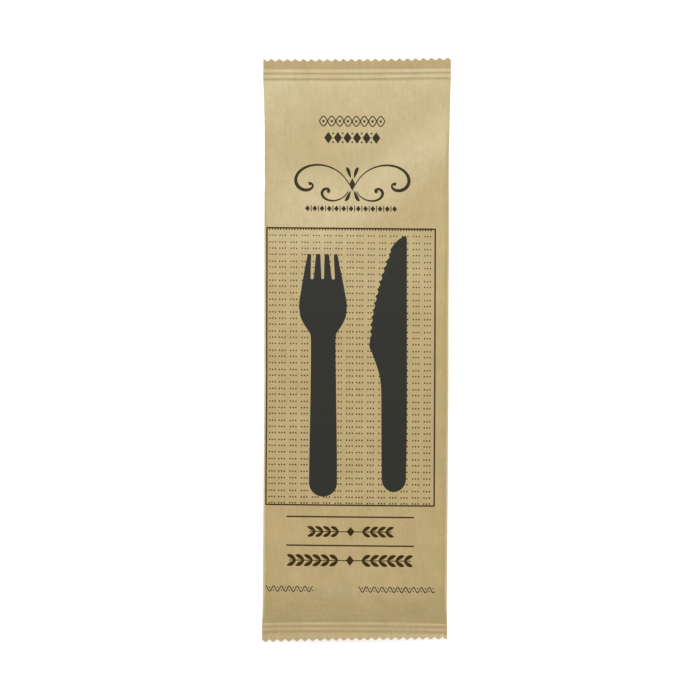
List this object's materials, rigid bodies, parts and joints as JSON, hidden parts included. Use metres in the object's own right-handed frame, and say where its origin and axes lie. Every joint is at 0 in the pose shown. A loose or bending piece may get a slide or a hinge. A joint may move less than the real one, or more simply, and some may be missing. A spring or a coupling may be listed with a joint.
{
  "type": "sealed cutlery packet",
  "caption": "Flat sealed kraft paper packet for table cutlery and a napkin, with a fin seam down its back and ribbed, zigzag-cut end seals.",
  "frame": {"origin": "centre of the packet in plan, at the level of the surface it lies on, which touches the folded fin seam", "axes": "+X across the printed face to its right-hand side fold, +Y along the packet to its top end seal, +Z out of the printed face"},
  "size_m": [0.0804, 0.2508, 0.0088],
  "materials": {
    "kraft_paper": "matt unbleached kraft paper, one side printed in black"
  },
  "bodies": {
    "root": {"paper_packet": "kraft_paper"}
  },
  "joints": []
}
